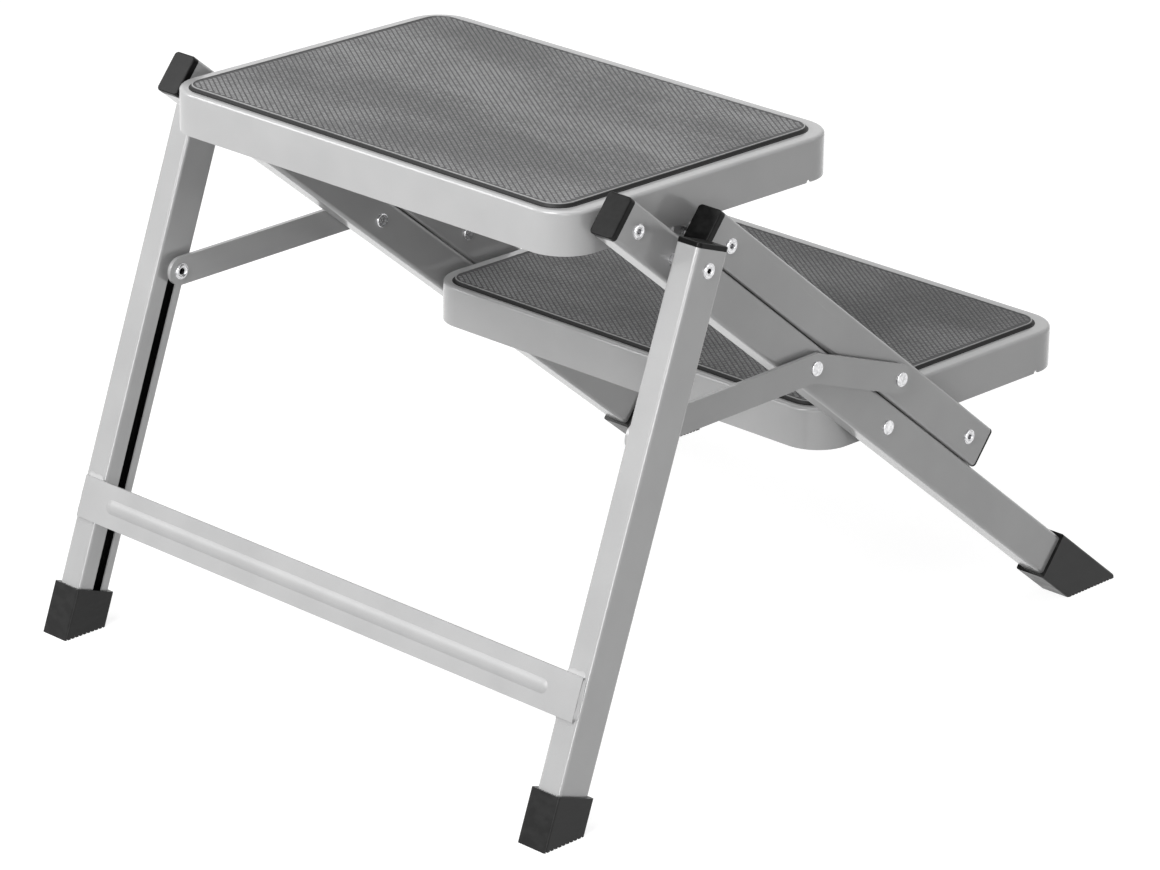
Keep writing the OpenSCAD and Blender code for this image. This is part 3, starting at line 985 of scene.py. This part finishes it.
@dataclass
class RearFrame:
    """The two rear legs with their caps and feet, and the welded cross bar."""

    layout: StepLayout
    bar_drop: float = 0.28645
    bar_height: float = 0.030
    bar_inset: float = 0.003
    edge_bead: WeldBead = WeldBead(0.0036, 0.0007)
    edge_lead: float = 0.3
    end_bead: WeldBead = WeldBead(0.0024, 0.0019)
    end_share: float = 0.46
    sharp: float = 60.0

    def build(self, bench: Bench) -> None:
        """Dress the rear frame and lay its welds.

        Args:
            bench: The maker of pieces.
        """
        for side in Side:
            leg_paint = bench.finishes.rear_leg_paint
            bench.finishes.dress([f"rear_leg_{side.word}"], Slot.FRAME, leg_paint)
            bench.finishes.dress([f"rear_leg_cap_{side.word}"], Slot.CAP)
            bench.finishes.dress([f"rear_foot_{side.word}"], Slot.FOOT)
            self.welds(bench, side)
        bench.finishes.dress(["cross_bar"], Slot.FRAME, bench.finishes.bar_paint)

    def welds(self, bench: Bench, side: Side) -> None:
        """Lay the painted welds round one end of the cross bar.

        Args:
            bench: The maker of pieces.
            side: The leg's side.
        """
        inner = side.value * (self.layout.leg_inner + self.edge_lead * self.edge_bead.reach)
        outer = side.value * (self.layout.leg_outer - self.bar_inset)
        for edge, word in ((-1, "top"), (1, "bottom")):
            level = self.bar_drop + edge * self.bar_height / 2
            path = (Vector((inner, 0, level)), Vector((outer, 0, level)))
            name = f"weld_{word}_{side.word}"
            self.weld(bench, name, self.edge_bead, path, Vector((0, 0, edge)))
        levels = [self.bar_drop + edge * self.end_share * self.bar_height for edge in (-1, 1)]
        path = (Vector((outer, 0, levels[0])), Vector((outer, 0, levels[1])))
        name = f"weld_end_{side.word}"
        self.weld(bench, name, self.end_bead, path, Vector((side.value, 0, 0)))

    def weld(
        self, bench: Bench, name: str, bead: WeldBead, path: tuple[Vector, Vector], out: Vector
    ) -> None:
        """Lay one weld.

        Args:
            bench: The maker of pieces.
            name: The weld's name.
            bead: Its shape.
            path: Its two ends along the bar's edge, in the rear legs' frame.
            out: The direction away from the bar.
        """
        back = Vector((0, -self.layout.tube_depth / 2, 0))
        rings = []
        for step in range(bead.steps + 1):
            share = step / bead.steps
            centre = path[0].lerp(path[1], share) + back
            section = bead.section(share, centre, out)
            rings.append([self.layout.rear_leg @ point for point in section])
        mesh = bmesh.new()
        loft(mesh, rings)
        paint = bench.finishes.bar_paint
        bench.piece(name, mesh, Slot.FRAME, "rear_frame", self.sharp, paint)


@dataclass(frozen=True)
class SoftLamp:
    """A rectangular lamp that faces the step."""

    name: str
    place: Vector
    width: float
    height: float
    watts: float


@dataclass
class Studio:
    """White floor, soft lamps and the photograph's camera."""

    camera_place: Vector = Vector((-2.27457, 2.40650, 1.43063))
    camera_right: Vector = Vector((-0.718776, -0.695069, 0.015530))
    camera_up: Vector = Vector((0.263916, -0.252116, 0.931013))
    camera_back: Vector = Vector((-0.643203, 0.673288, 0.364655))
    lens: float = 156.83
    sensor: float = 36.0
    clip: tuple[float, float] = (0.05, 60.0)
    floor_reach: float = 9.0
    floor_sides: int = 96
    floor_tone: Tone = Tone(0.34, 0.34, 0.34)
    floor_rough: float = 0.9
    floor_specular: float = 0.1
    floor_glow: float = 0.86
    room_light: float = 0.12
    room_shown: float = 1.0
    aim: Vector = Vector((0.0, 0.0, 0.2))
    lamps: tuple[SoftLamp, ...] = (
        SoftLamp("key_lamp", Vector((-0.45, 2.70, 1.90)), 1.7, 1.7, 78.0),
        SoftLamp("rim_lamp", Vector((1.95, 1.85, 1.60)), 1.2, 1.2, 26.0),
        SoftLamp("top_lamp", Vector((-0.3, 0.2, 3.0)), 2.4, 2.4, 30.0),
        SoftLamp("corner_lamp", Vector((-2.38, 2.20, 0.45)), 1.0, 0.75, 11.5),
    )

    def build(self) -> None:
        """Set up the studio."""
        self.camera()
        self.floor()
        self.world()
        for lamp in self.lamps:
            self.hang(lamp)
        bpy.context.scene.view_settings.view_transform = "Standard"

    def camera(self) -> None:
        """Stand the camera where the photograph was taken from."""
        data = bpy.data.cameras.new("photo_camera")
        data.lens = self.lens
        data.sensor_width = self.sensor
        data.sensor_fit = "HORIZONTAL"
        data.clip_start, data.clip_end = self.clip
        camera = bpy.data.objects.new("photo_camera", data)
        turn = Matrix((self.camera_right, self.camera_up, self.camera_back)).transposed()
        camera.matrix_world = Matrix.Translation(self.camera_place) @ turn.to_4x4()
        bpy.context.scene.collection.objects.link(camera)
        bpy.context.scene.camera = camera
        log.info("camera at %s", tuple(round(value, 3) for value in self.camera_place))

    def hang(self, lamp: SoftLamp) -> None:
        """Hang a lamp.

        Args:
            lamp: Its name, place, size and power.
        """
        data = bpy.data.lights.new(lamp.name, "AREA")
        data.shape = "RECTANGLE"
        data.size, data.size_y = lamp.width, lamp.height
        data.energy = lamp.watts
        light = bpy.data.objects.new(lamp.name, data)
        light.location = lamp.place
        light.rotation_mode = "QUATERNION"
        light.rotation_quaternion = (self.aim - lamp.place).to_track_quat("-Z", "Y")
        bpy.context.scene.collection.objects.link(light)
        log.info("lamp %s: %.1f W", lamp.name, lamp.watts)

    def floor(self) -> None:
        """Lay the floor: white to the eye and in reflections, with the step's soft shadow."""
        sheet = NodeSheet("studio_floor")
        sheet.feed(self.floor_tone.rgba, sheet.shader.inputs["Base Color"])
        sheet.set(Roughness=self.floor_rough, Specular_IOR_Level=self.floor_specular)
        paths = sheet.add("ShaderNodeLightPath")
        seen = sheet.math("MAXIMUM", paths.outputs["Is Camera Ray"], paths.outputs["Is Glossy Ray"])
        seen = sheet.math("MAXIMUM", seen, paths.outputs["Is Transmission Ray"])
        glow = sheet.add("ShaderNodeEmission")
        sheet.link(sheet.math("MULTIPLY", seen, self.floor_glow), glow.inputs["Strength"])
        both = sheet.add("ShaderNodeAddShader")
        sheet.link(sheet.shader.outputs[0], both.inputs[0])
        sheet.link(glow.outputs[0], both.inputs[1])
        sheet.link(both.outputs[0], sheet.output.inputs["Surface"])
        mesh = bmesh.new()
        bmesh.ops.create_circle(
            mesh, cap_ends=True, segments=self.floor_sides, radius=self.floor_reach
        )
        data = bpy.data.meshes.new("studio_floor")
        mesh.to_mesh(data)
        mesh.free()
        data.materials.append(sheet.material)
        floor = bpy.data.objects.new("studio_floor", data)
        bpy.context.scene.collection.objects.link(floor)
        log.info("floor laid")

    def world(self) -> None:
        """Set the room's light: plain grey on the step, white to the eye and in reflections."""
        world = bpy.data.worlds.new("studio_room")
        bpy.context.scene.world = world
        world.use_nodes = True
        tree = world.node_tree
        paths = tree.nodes.new("ShaderNodeLightPath")
        shown = tree.nodes.new("ShaderNodeMath")
        shown.operation = "MAXIMUM"
        tree.links.new(paths.outputs["Is Camera Ray"], shown.inputs[0])
        tree.links.new(paths.outputs["Is Glossy Ray"], shown.inputs[1])
        strength = tree.nodes.new("ShaderNodeMapRange")
        strength.inputs["To Min"].default_value = self.room_light
        strength.inputs["To Max"].default_value = self.room_shown
        tree.links.new(shown.outputs[0], strength.inputs["Value"])
        room = tree.nodes["Background"]
        room.inputs["Color"].default_value = (1, 1, 1, 1)
        tree.links.new(strength.outputs["Result"], room.inputs["Strength"])
        log.info("room lit")


def main() -> None:
    """Dress the whole step."""
    logging.basicConfig(level=logging.INFO, format="%(name)s: %(message)s")
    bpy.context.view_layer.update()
    layout = StepLayout()
    bench = Bench(Finishes(layout))
    Studio().build()
    for level in TreadLevel:
        Tread(level, layout).build(bench)
    FrontFrame().build(bench)
    TreadRails().build(bench)
    FoldLinks().build(bench)
    RearFrame(layout).build(bench)


if __name__ == "__main__":
    main()
